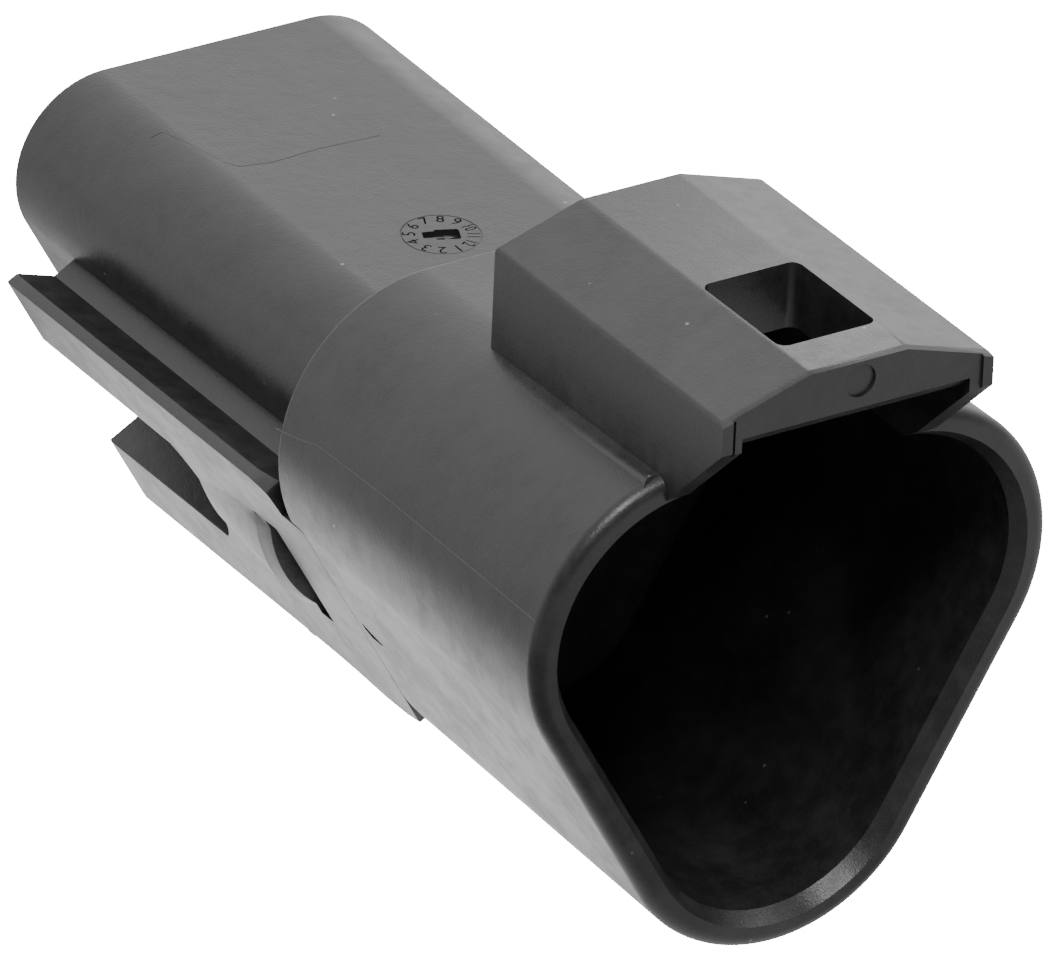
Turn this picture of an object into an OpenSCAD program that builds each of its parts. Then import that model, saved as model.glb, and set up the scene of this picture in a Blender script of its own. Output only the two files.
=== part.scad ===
// Three-way sealed wire connector housing with its factory-fitted wire seal.
// Millimetres. The mouth lies in the plane y = 0 and faces -Y, the wires leave at +Y and the latch
// bridge stands on the +Z side. X points right for someone who looks into the mouth.

/* [Shroud] */
// Distance from the axis to the centre of each rounded corner
corner_reach = 6.06; // [5.98:0.02:6.12]
// Outer corner radius at the mouth
shroud_r = 7.95; // [7.9:0.01:8]
// Length from the mouth to the shoulder
shroud_len = 21.5; // [21.3:0.1:21.7]
// Corner radius of the mouth behind its lead-in
mouth_r = 6.37; // [6.33:0.01:6.4]
// Radial width of the lead-in inside the rim
lead_in = 0.47; // [0.3:0.01:0.5]
// Depth of the lead-in
lead_in_len = 0.76; // [0.5:0.02:1]
// Depth of the groove round the contact island
groove_y = 20; // [19.6:0.1:20.2]

// Amount by which the outer radius shrinks from the mouth to the shoulder
shroud_draft = 0.4; // [0.2:0.05:0.5]
// Width of the bevel round the outer rim
rim_bevel = 0.4; // [0.2:0.05:0.5]

/* [Contact island] */
// Distance from the mouth to the island's face
island_y = 18; // [17.6:0.1:18.4]
// Corner radius of the island
island_r = 4.37; // [4.2:0.01:4.5]
// Distance from the axis to each contact cavity
cavity_reach = 5; // [4.9:0.05:5.1]
// Radius of a cavity's front hole
pin_hole_r = 1; // [0.8:0.05:1.1]
// Radius of a cavity behind its step
cavity_r = 1.8; // [1.6:0.05:1.9]
// Distance from the mouth to the step in a cavity
step_y = 22; // [21.8:0.1:22.6]
// Depth of the recess that takes the secondary lock
lock_depth = 8; // [6:0.5:10]

/* [Rear shell] */
// Corner radius of the rear shell at its end
shell_r = 4.54; // [4.45:0.01:4.6]
// Distance from the axis to the shell's corner centres
shell_reach = 6.25; // [6.2:0.01:6.3]
// Height of the shell's centre above the shroud's
shell_lift = 0.29; // [0.2:0.01:0.35]
// Overall distance from the mouth to the rear end
rear_y = 48.6; // [48:0.1:49]
// Distance from the mouth to the floor of the seal pocket
pocket_y = 37; // [36:0.5:38]
// Wall round the seal pocket
pocket_wall = 1.2; // [1.1:0.05:1.3]

// Amount by which the shell's radius grows towards its end
shell_draft = 0.3; // [0.1:0.05:0.35]

/* [Latch bridge] */
// Half width of the bridge
bridge_half = 6.9; // [6.8:0.05:7]
// Height of the bridge's side edges above the axis
bridge_side_z = 15.41; // [15.3:0.01:15.5]
// Half width of the flat along the top of the bridge
bridge_flat_half = 2.53; // [2.3:0.01:2.7]
// Height of the bridge's top above the axis
bridge_top_z = 16.77; // [16.6:0.01:16.9]
// Distance by which the bridge overhangs the mouth
bridge_front = 4.39; // [4.2:0.01:4.5]
// Distance from the mouth to the back of the bridge
bridge_back = 13.94; // [13.7:0.01:14.2]
// Wall at the sides and back of the tunnel
bridge_wall = 1.1; // [1:0.05:1.2]
// Height of the tunnel's ceiling above the axis
tunnel_z = 13.6; // [13.5:0.05:13.7]
// Window in the bridge's roof, as width and length
window_size = [4.95, 6.35];
// Sideways place and front edge of the window
window_at = [-2.35, -1.73];
// Corner radius of the window
window_r = 0.5; // [0.3:0.05:0.8]
// Radius of the ejector mark on the bridge's front face
ejector_r = 0.78; // [0.6:0.02:0.9]

/* [Clip rails] */
// Distance from the axis to the outer faces of the rails
rail_top = 10.6; // [10.55:0.01:10.65]
// Half width of the slot between the rails
slot_half = 3.2; // [3.1:0.05:3.3]
// Half width of the rails over their lips
rail_half = 7.2; // [7.1:0.05:7.4]
// Half width of the rails at their feet
foot_half = 5.65; // [5.5:0.05:5.8]
// Thickness of the lips at their edges
lip_edge = 0.56; // [0.4:0.02:0.7]
// Distance from the mouth to the rails' rear ends
rail_end = 44.2; // [43:0.1:45]
// Distance from the mouth to the front end of the slot, at its sides
slot_y = 33.4; // [33.2:0.1:33.6]
// Depth of the arch in the slot's front end
slot_arch = 1.4; // [1:0.1:1.6]
// Distance from the mouth to the front wall of the lock pocket
catch_y = 24.4; // [24.3:0.05:24.5]
// Distance from the mouth to the ramp's upright lock face
lock_y = 25.4; // [25.3:0.05:25.5]
// Distance from the mouth to the ramp's crest
crest_y = 26.15; // [26:0.05:26.3]
// Radius of the ramp's rounded top
ramp_r = 7.1; // [6.8:0.1:7.4]

/* [Wire seal] */
// Gap between the seal's body and the pocket wall
seal_gap = 0.35; // [0.25:0.05:0.4]
// Radius of each wire hole in the seal
wire_hole_r = 1.1; // [0.9:0.05:1.3]
// Distance of the seal's back face inside the rear end
seal_inset = 1; // [0.5:0.1:1.5]

/* [Hidden] */
$fn = 96;
corner_angles = [30, 150, 270];
shell_inner_r = shell_r - pocket_wall;
seal_back = rear_y - seal_inset;
flank_foot = 6.6;
ramp_start = 33.8;
ramp_rise = 5.7;
nose_fall = 18.8;
crest_z = rail_top + (ramp_start - crest_y) * tan(ramp_rise);
arch_r = (slot_half * slot_half + slot_arch * slot_arch) / (2 * slot_arch);
past = 1;

// Rounded triangle with its apex down, drawn as seen from the front. Its flats lie a hair inside
// the tangent lines, so that they cross the corner circles cleanly.
module rounded_triangle(reach, r) {
    flat = r - 0.002;
    for (a = corner_angles) rotate(a) translate([reach, 0]) circle(r);
    polygon([
        for (a = [90, 210, 330]) for (s = [-60, 60])
            [reach * cos(a + s) + flat * cos(a), reach * sin(a + s) + flat * sin(a)]
    ]);
}

// Front-view shape carried from one distance behind the mouth to another
module along_y(from, to) {
    translate([0, to, 0]) rotate([90, 0, 0]) linear_extrude(to - from) children();
}

// Side-view shape, drawn in Y and Z, carried across the part
module across_x(half) {
    translate([-half, 0, 0]) rotate([90, 0, 90]) linear_extrude(2 * half) children();
}

// Frame of the flank with the rails: X up the flank, Y rearwards, Z out of it
module on_flank() {
    rotate([0, -120, 0]) children();
}

module slice(y, r) {
    along_y(y, y + 0.02) rounded_triangle(corner_reach, r);
}

module shell_slice(y, r) {
    along_y(y, y + 0.02) translate([0, shell_lift]) rounded_triangle(shell_reach, r);
}

// Drafted outside of the shroud, with its rim and shoulder bevels
module shroud_body() {
    hull() {
        slice(0, shroud_r - rim_bevel);
        slice(rim_bevel, shroud_r);
        slice(shroud_len - 0.3, shroud_r - shroud_draft);
        slice(shroud_len - 0.02, shroud_r - shroud_draft - 0.25);
    }
}

module shell_body() {
    hull() {
        shell_slice(shroud_len - past, shell_r - shell_draft);
        shell_slice(rear_y - 0.25, shell_r);
        shell_slice(rear_y - 0.02, shell_r - 0.2);
    }
}

// Space behind the mouth, down to the groove round the island
module mouth_space() {
    difference() {
        along_y(-past, groove_y) rounded_triangle(corner_reach, mouth_r);
        along_y(island_y, groove_y + past) rounded_triangle(corner_reach, island_r);
    }
    hull() {
        slice(-past, mouth_r + lead_in + 0.1);
        slice(-0.02, mouth_r + lead_in);
        slice(lead_in_len + 0.1, mouth_r - 0.1 * lead_in / lead_in_len);
    }
}

module bridge_section() {
    polygon([
        [-bridge_half, 4], [bridge_half, 4], [bridge_half, bridge_side_z],
        [bridge_flat_half, bridge_top_z], [-bridge_flat_half, bridge_top_z],
        [-bridge_half, bridge_side_z]
    ]);
}

// Roof and side walls of the latch bridge, with the gussets ahead of the rim
module bridge_body() {
    intersection() {
        along_y(-bridge_front, bridge_back) bridge_section();
        across_x(bridge_half + past) polygon([
            [0.2, 9.4], [-bridge_front, 13.9], [-bridge_front, 20], [20, 20], [20, 9.4]
        ]);
    }
}

// Tunnel for the mating latch, open to the front and down into the mouth
module tunnel() {
    half = bridge_half - bridge_wall;
    across_x(half) polygon([
        [-bridge_front - past, 4], [-bridge_front - past, 15.5], [-bridge_front, 14.55],
        [-bridge_front + 0.7, 13.9], [-bridge_front + 1.1, tunnel_z],
        [bridge_back - bridge_wall, tunnel_z], [bridge_back - bridge_wall, 4]
    ]);
}

module window() {
    translate([window_at[0], window_at[1], tunnel_z - past]) linear_extrude(5) {
        translate([window_r, 0]) square([window_size[0] - 2 * window_r, window_size[1]]);
        translate([0, window_r]) square([window_size[0], window_size[1] - 2 * window_r]);
        for (x = [window_r, window_size[0] - window_r], y = [window_r, window_size[1] - window_r])
            translate([x, y]) circle(window_r);
    }
}

module ejector_mark() {
    translate([0.12, -bridge_front - past, 15.73]) rotate([-90, 0, 0]) cylinder(past + 0.2, r = ejector_r);
}

module rail_section() {
    for (side = [0, 1]) mirror([side, 0]) polygon([
        [slot_half, flank_foot], [foot_half, flank_foot], [foot_half, 8.6],
        [rail_half, rail_top - lip_edge], [rail_half, rail_top], [slot_half, rail_top]
    ]);
}

// Round bar whose top passes a height at one distance behind the mouth and rises forwards
module sloping_bar(y, z, rise) {
    translate([0, y, z - ramp_r / cos(rise)]) rotate([90 - rise, 0, 0]) cylinder(60, r = ramp_r, center = true);
}

// Round-topped ramp that lifts a mounting clip's tongue, with its nose and upright lock face
module clip_ramp() {
    intersection() {
        translate([-slot_half, lock_y, flank_foot]) cube([2 * slot_half, slot_y - lock_y, 6]);
        sloping_bar(ramp_start, rail_top, ramp_rise);
        sloping_bar(crest_y, crest_z, -nose_fall);
    }
}

// Both rails, the web that joins them ahead of the slot and the ramp on it
module rails() {
    on_flank() {
        along_y(shroud_len + 0.6, rail_end) rail_section();
        difference() {
            union() {
                along_y(shroud_len - past, slot_y) translate([-foot_half, flank_foot])
                    square([2 * foot_half, rail_top - flank_foot]);
                clip_ramp();
            }
            intersection() {
                translate([0, slot_y - slot_arch + arch_r, flank_foot - past]) cylinder(9, r = arch_r);
                translate([-slot_half, slot_y - 3, 0]) cube([2 * slot_half, 6, 20]);
            }
        }
    }
}

// Slot across the web, ahead of the ramp, that a mounting clip's tongue drops into
module lock_pocket() {
    on_flank() translate([-slot_half, catch_y, 7.8]) cube([2 * slot_half, lock_y - catch_y, 6]);
}

module cavities() {
    for (a = corner_angles)
        translate([cavity_reach * cos(a), 0, cavity_reach * sin(a)]) {
            translate([0, island_y - past, 0]) rotate([-90, 0, 0])
                cylinder(pocket_y - island_y, r = pin_hole_r);
            translate([0, step_y, 0]) rotate([-90, 0, 0])
                cylinder(pocket_y + past - step_y, r = cavity_r);
        }
}

// Recess between the cavities for the secondary lock
module lock_recess() {
    along_y(island_y - past, island_y + lock_depth) rotate(60) rounded_triangle(2.2, 0.8);
}

module seal_pocket() {
    along_y(pocket_y, rear_y + past) translate([0, shell_lift])
        rounded_triangle(shell_reach, shell_inner_r);
}

module housing() {
    color([0.16, 0.155, 0.15]) difference() {
        union() {
            shroud_body();
            shell_body();
            bridge_body();
            rails();
        }
        mouth_space();
        tunnel();
        window();
        ejector_mark();
        lock_pocket();
        cavities();
        lock_recess();
        seal_pocket();
    }
}

module seal_ring(from, to, gap) {
    along_y(from, to) translate([0, shell_lift]) rounded_triangle(shell_reach, shell_inner_r - gap);
}

// Ribbed silicone block with one hole for each wire
module wire_seal() {
    color([0.72, 0.27, 0.12]) difference() {
        union() {
            seal_ring(pocket_y, seal_back, seal_gap);
            for (y = [pocket_y + 1.6, pocket_y + 4.6, pocket_y + 7.6]) seal_ring(y, y + 0.9, 0.01);
        }
        for (a = corner_angles)
            translate([cavity_reach * cos(a), pocket_y - past, cavity_reach * sin(a)])
                rotate([-90, 0, 0]) cylinder(seal_back - pocket_y + 2 * past, r = wire_hole_r);
    }
}

housing();
wire_seal();
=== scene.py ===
"""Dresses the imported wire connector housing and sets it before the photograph's camera.

Sizes are in millimetres until a piece is finished, and then the piece is scaled to metres.
X points right for someone who looks into the mouth, +Y is the wire end and +Z the latch side.
"""

from __future__ import annotations

import logging
import math
from collections.abc import Callable, Sequence
from dataclasses import dataclass, field
from enum import Enum

import bmesh
import bpy
from mathutils import Matrix, Vector

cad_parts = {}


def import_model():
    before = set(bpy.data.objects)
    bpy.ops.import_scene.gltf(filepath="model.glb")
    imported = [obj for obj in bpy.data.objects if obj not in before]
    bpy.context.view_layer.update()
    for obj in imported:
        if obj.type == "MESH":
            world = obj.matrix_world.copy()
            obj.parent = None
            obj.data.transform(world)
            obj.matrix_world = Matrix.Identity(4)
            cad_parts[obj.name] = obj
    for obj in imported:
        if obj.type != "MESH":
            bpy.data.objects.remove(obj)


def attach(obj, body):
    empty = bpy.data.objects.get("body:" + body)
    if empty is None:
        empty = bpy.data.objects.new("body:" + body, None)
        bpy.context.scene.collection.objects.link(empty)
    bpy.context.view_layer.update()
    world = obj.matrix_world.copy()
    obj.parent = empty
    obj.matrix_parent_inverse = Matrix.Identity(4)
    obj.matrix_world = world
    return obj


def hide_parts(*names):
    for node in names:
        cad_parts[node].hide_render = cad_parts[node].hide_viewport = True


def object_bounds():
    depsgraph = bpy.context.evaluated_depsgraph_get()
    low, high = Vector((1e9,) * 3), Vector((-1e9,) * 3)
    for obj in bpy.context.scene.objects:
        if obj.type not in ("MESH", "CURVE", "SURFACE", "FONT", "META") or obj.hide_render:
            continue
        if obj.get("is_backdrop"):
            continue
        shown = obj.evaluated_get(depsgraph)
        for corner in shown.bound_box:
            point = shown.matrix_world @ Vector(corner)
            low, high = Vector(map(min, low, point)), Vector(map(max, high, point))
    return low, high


LOG = logging.getLogger("connector")
MM = 0.001  # metres in a millimetre
MERGE = 0.0005  # corners nearer than this are one, in millimetres
FINISH_MERGE = 0.0004
NEAR = 0.001  # how far a picked corner may lie from its place
SLACK = 0.01
SMOOTH_ANGLE = 28.0
FLAT_LEAD = 80
ROD_SIDES = 32
WIRE_SIDES = 6
ROUND_STEPS = 8
CLEAR = 0.5  # how far a tool stands out of the surface that it cuts
WHITE = (1.0, 1.0, 1.0, 1.0)
CORNER_ANGLES = (30.0, 150.0, 270.0)
FLANK_TURN = math.radians(120.0)

Obj = bpy.types.Object
Socket = bpy.types.NodeSocket
Point2 = tuple[float, float]
Point3 = tuple[float, float, float]
Ring = tuple[float, float]


class Cut(Enum):
    """How a tool solid acts on the solid it meets."""

    ADD = "UNION"
    REMOVE = "DIFFERENCE"
    KEEP_COMMON = "INTERSECT"


class Plane(Enum):
    """The plane that a flat outline is drawn in."""

    FRONT = "xz"
    SIDE = "yz"
    TOP = "xy"
    FLANK = "flank"


def flank_point(up: float, along: float, out: float) -> Vector:
    """Gives the point that lies so far up the rail flank, behind the mouth and from the axis."""
    turned = Matrix.Rotation(-FLANK_TURN, 3, "Y")
    return turned @ Vector((up, along, out))


def corner_place(reach: float, angle: float) -> Point2:
    """Gives how far across and up a point lies at an angle in degrees."""
    return reach * math.cos(math.radians(angle)), reach * math.sin(math.radians(angle))


def quarter_round(size: float, steps: int) -> list[Point2]:
    """Gives a quarter round's points as their falls from its two sides."""
    turns = [math.radians(90.0 * step / steps) for step in range(steps + 1)]
    return [(size * (1 - math.cos(turn)), size * (1 - math.sin(turn))) for turn in turns]


class Bench:
    """Thin wrappers round Blender's modelling operators."""

    @staticmethod
    def deselect() -> None:
        """Leaves nothing selected."""
        bpy.ops.object.select_all(action="DESELECT")

    @staticmethod
    def activate(obj: Obj) -> None:
        """Makes one object the only selected and active one.

        Args:
            obj: The object.
        """
        Bench.deselect()
        obj.select_set(True)
        bpy.context.view_layer.objects.active = obj

    @staticmethod
    def apply_place(obj: Obj) -> None:
        """Moves an object's place, turn and scale into its mesh."""
        Bench.activate(obj)
        bpy.ops.object.transform_apply(location=True, rotation=True, scale=True)

    @staticmethod
    def taken(name: str) -> Obj:
        """Names the object that was just made and moves its place into its mesh.

        Args:
            name: Its name.

        Returns:
            The object.
        """
        obj = bpy.context.object
        obj.name = name
        Bench.apply_place(obj)
        return obj

    @staticmethod
    def pick(
        obj: Obj,
        verts: Callable[[Vector], bool] | None = None,
        edges: Callable[[Vector, Vector], bool] | None = None,
        faces: Callable[[Vector, Vector], bool] | None = None,
    ) -> None:
        """Selects parts of the mesh that is being edited, by their place.

        Args:
            obj: The object in edit mode.
            verts: Test of a vertex's place.
            edges: Test of an edge's two ends.
            faces: Test of a face's centre and normal.
        """
        mode = "VERT" if verts else "EDGE" if edges else "FACE"
        bpy.ops.mesh.select_mode(type=mode)
        bpy.ops.mesh.select_all(action="DESELECT")
        mesh = bmesh.from_edit_mesh(obj.data)
        for vert in mesh.verts if verts else ():
            vert.select = verts(vert.co)
        for edge in mesh.edges if edges else ():
            edge.select = edges(edge.verts[0].co, edge.verts[1].co)
        for face in mesh.faces if faces else ():
            face.select = faces(face.calc_center_median(), face.normal)
        mesh.select_flush_mode()
        bmesh.update_edit_mesh(obj.data)

    @staticmethod
    def start_edit(obj: Obj) -> None:
        """Opens one object's mesh for editing, with all of it selected.

        Args:
            obj: The object.
        """
        Bench.activate(obj)
        bpy.ops.object.mode_set(mode="EDIT")
        bpy.ops.mesh.select_all(action="SELECT")

    @staticmethod
    def end_edit() -> None:
        """Turns the edited mesh's faces outwards and leaves edit mode."""
        bpy.ops.mesh.select_all(action="SELECT")
        bpy.ops.mesh.normals_make_consistent(inside=False)
        bpy.ops.object.mode_set(mode="OBJECT")

    @staticmethod
    def tidy(obj: Obj) -> None:
        """Merges doubled corners and splits the faces, so that the next cut meets flat faces.

        Args:
            obj: The solid.
        """
        Bench.start_edit(obj)
        bpy.ops.mesh.remove_doubles(threshold=MERGE)
        bpy.ops.mesh.quads_convert_to_tris()
        bpy.ops.object.mode_set(mode="OBJECT")

    @staticmethod
    def prism(name: str, outline: Sequence[Vector], carry: Vector) -> Obj:
        """Makes a closed prism from a flat outline.

        Args:
            name: The object's name.
            outline: The corners in order.
            carry: The way and distance by which the outline is extruded.

        Returns:
            The prism.
        """
        Bench.deselect()
        bpy.ops.mesh.primitive_circle_add(vertices=len(outline), radius=1.0, fill_type="NGON")
        obj = bpy.context.object
        obj.name = name
        Bench.start_edit(obj)
        mesh = bmesh.from_edit_mesh(obj.data)
        mesh.verts.ensure_lookup_table()
        for index, corner in enumerate(outline):
            mesh.verts[index].co = corner
        bmesh.update_edit_mesh(obj.data)
        bpy.ops.mesh.select_all(action="SELECT")
        bpy.ops.mesh.extrude_region_move(TRANSFORM_OT_translate={"value": carry[:]})
        Bench.end_edit()
        return obj

    @staticmethod
    def drawn(name: str, outline: Sequence[Point2], low: float, high: float, plane: Plane) -> Obj:
        """Makes a prism from an outline that is drawn in one of the usual planes.

        Args:
            name: The object's name.
            outline: The outline's corners in the plane.
            low: Where the prism starts, across the plane.
            high: Where it ends.
            plane: The plane that the outline is drawn in.

        Returns:
            The prism.
        """
        place: dict[Plane, Callable[[float, float, float], Vector]] = {
            Plane.FRONT: lambda a, b, c: Vector((a, c, b)),
            Plane.SIDE: lambda a, b, c: Vector((c, a, b)),
            Plane.TOP: lambda a, b, c: Vector((a, b, c)),
            Plane.FLANK: lambda a, b, c: flank_point(a, b, c),
        }
        at = place[plane]
        corners = [at(a, b, low) for a, b in outline]
        return Bench.prism(name, corners, at(0.0, 0.0, high) - at(0.0, 0.0, low))

    @staticmethod
    def bevel_edges(obj: Obj, width: float, test: Callable[[Vector, Vector], bool], segments: int = 3) -> None:
        """Rounds the edges that a test picks.

        Args:
            obj: The solid.
            width: The rounding's width.
            test: Test of an edge's two ends.
            segments: The rounding's number of faces.
        """
        Bench.activate(obj)
        bpy.ops.object.mode_set(mode="EDIT")
        Bench.pick(obj, edges=test)
        bpy.ops.mesh.bevel(offset=width, segments=segments, affect="EDGES")
        bpy.ops.object.mode_set(mode="OBJECT")

    @staticmethod
    def cut_flat(obj: Obj, point: Vector, out: Vector) -> None:
        """Cuts off what lies beyond a plane and closes the cut.

        Args:
            obj: The solid.
            point: A point of the plane.
            out: The plane's normal, towards what is cut off.
        """
        Bench.start_edit(obj)
        bpy.ops.mesh.bisect(plane_co=point, plane_no=out, use_fill=True, clear_outer=True)
        bpy.ops.object.mode_set(mode="OBJECT")

    @staticmethod
    def combine(target: Obj, tool: Obj, how: Cut) -> None:
        """Joins or cuts a solid with a tool solid, which is used up.

        Args:
            target: The solid that stays.
            tool: The solid that acts on it.
            how: Whether the tool adds, removes or keeps the common part.
        """
        Bench.activate(target)
        modifier = target.modifiers.new("combine", "BOOLEAN")
        modifier.operation = how.value
        modifier.solver = "EXACT"
        modifier.object = tool
        bpy.ops.object.modifier_apply(modifier=modifier.name)
        bpy.data.objects.remove(tool, do_unlink=True)

    @staticmethod
    def rounded_triangle(
        name: str,
        rings: Sequence[Ring],
        reach: float,
        lift: float = 0.0,
        per_corner: int = 40,
        turn: float = 0.0,
    ) -> Obj:
        """Extrudes a rounded triangle rearwards through rings of changing corner radius.

        Args:
            name: The object's name.
            rings: Distance behind the mouth and corner radius of each ring.
            reach: Distance from the triangle's centre to its corner centres.
            lift: Height of the triangle's centre.
            per_corner: Vertices on each corner.
            turn: Angle in degrees by which the triangle is turned.

        Returns:
            The closed solid.
        """
        Bench.deselect()
        start, radius = rings[0]
        bpy.ops.mesh.primitive_circle_add(
            vertices=3 * per_corner,
            radius=radius,
            fill_type="NGON",
            location=(0.0, start, lift),
            rotation=(math.pi / 2, 0.0, 0.0),
        )
        obj = Bench.taken(name)
        middle = Vector((0.0, start, lift))
        angles = [angle + turn for angle in CORNER_ANGLES]
        corners = [corner_place(reach, angle) for angle in angles]
        centres = [Vector((across, 0.0, lift + up)) for across, up in corners]
        Bench.start_edit(obj)
        half_step = math.pi / (3 * per_corner)
        bpy.ops.transform.rotate(value=half_step, orient_axis="Y", center_override=middle)
        for angle, centre in zip(angles, centres):
            across, up = corner_place(1.0, angle)
            axis = Vector((across, 0.0, up))
            Bench.pick(obj, verts=lambda co, axis=axis: (co - middle).normalized().dot(axis) > 0.5)
            bpy.ops.transform.translate(value=(centre.x, 0.0, centre.z - lift))
        previous = rings[0]
        for ring in rings[1:]:
            where = previous[0]
            Bench.pick(obj, faces=lambda c, n, where=where: abs(c.y - where) < NEAR)
            bpy.ops.mesh.extrude_region_move(TRANSFORM_OT_translate={"value": (0.0, ring[0] - where, 0.0)})
            if ring[1] != previous[1]:
                Bench._scale_corners(obj, ring[0], centres, ring[1] / previous[1])
            previous = ring
        Bench.end_edit()
        return obj

    @staticmethod
    def _scale_corners(obj: Obj, where: float, centres: Sequence[Vector], scale: float) -> None:
        """Scales one ring's corners about their own centres.

        Args:
            obj: The object in edit mode.
            where: The ring's distance behind the mouth.
            centres: The corner centres.
            scale: The factor.
        """

        def nearest(co: Vector) -> int:
            """Finds the corner that a point belongs to."""
            flat = Vector((co.x, 0.0, co.z))
            return min(range(3), key=lambda index: (flat - centres[index]).length)

        for index, centre in enumerate(centres):
            Bench.pick(obj, verts=lambda co, index=index: abs(co.y - where) < NEAR and nearest(co) == index)
            bpy.ops.transform.resize(value=(scale, 1.0, scale), center_override=(centre.x, where, centre.z))

    @staticmethod
    def rod(name: str, centre: Point3, radius: float, length: float) -> Obj:
        """Makes a round tool along Y.

        Args:
            name: The object's name.
            centre: The rod's centre.
            radius: The rod's radius.
            length: The rod's length.

        Returns:
            The rod.
        """
        Bench.deselect()
        bpy.ops.mesh.primitive_cylinder_add(
            vertices=ROD_SIDES, radius=radius, depth=length, location=centre, rotation=(math.pi / 2, 0.0, 0.0)
        )
        return Bench.taken(name)

    @staticmethod
    def wire(name: str, path: Sequence[Point3], radius: float, across: bool = False) -> Obj:
        """Makes a thin round tool that follows a path over a surface.

        Args:
            name: The object's name.
            path: The points that its middle passes, in order.
            radius: The tool's radius.
            across: Whether the path runs across the part, and not along it.

        Returns:
            The tool.
        """
        Bench.deselect()
        turn = (0.0, math.pi / 2, 0.0) if across else (math.pi / 2, 0.0, 0.0)
        bpy.ops.mesh.primitive_circle_add(
            vertices=WIRE_SIDES, radius=radius, fill_type="NGON", location=path[0], rotation=turn
        )
        obj = Bench.taken(name)
        Bench.start_edit(obj)
        for first, last in zip(path, path[1:]):
            carry = Vector(last) - Vector(first)
            bpy.ops.mesh.extrude_region_move(TRANSFORM_OT_translate={"value": carry[:]})
        Bench.end_edit()
        return obj

    @staticmethod
    def finish(obj: Obj, material: bpy.types.Material, name: str, body: str, node: str, slot: str) -> None:
        """Dresses a piece, scales it to metres, smooths it and ties it to the frame.

        Args:
            obj: The piece.
            material: Its material.
            name: The piece's final name.
            body: The body that it rides on.
            node: The node that it stands for.
            slot: The record's material slot; not used.
        """
        obj.name = name
        obj.data.name = name
        obj.data.materials.clear()
        obj.data.materials.append(material)
        Bench.start_edit(obj)
        bpy.ops.mesh.remove_doubles(threshold=FINISH_MERGE)
        bpy.ops.mesh.dissolve_degenerate(threshold=FINISH_MERGE)
        bpy.ops.object.mode_set(mode="OBJECT")
        obj.scale = (MM, MM, MM)
        Bench.apply_place(obj)
        bpy.ops.object.shade_smooth_by_angle(angle=math.radians(SMOOTH_ANGLE))
        modifier = obj.modifiers.new("flat_faces_lead", "WEIGHTED_NORMAL")
        modifier.keep_sharp = True
        modifier.weight = FLAT_LEAD
        bpy.ops.object.modifier_apply(modifier=modifier.name)
        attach(obj, body)
        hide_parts(node)
        LOG.info("%s: %d faces, for %s on %s", name, len(obj.data.polygons), node, body)


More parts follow.
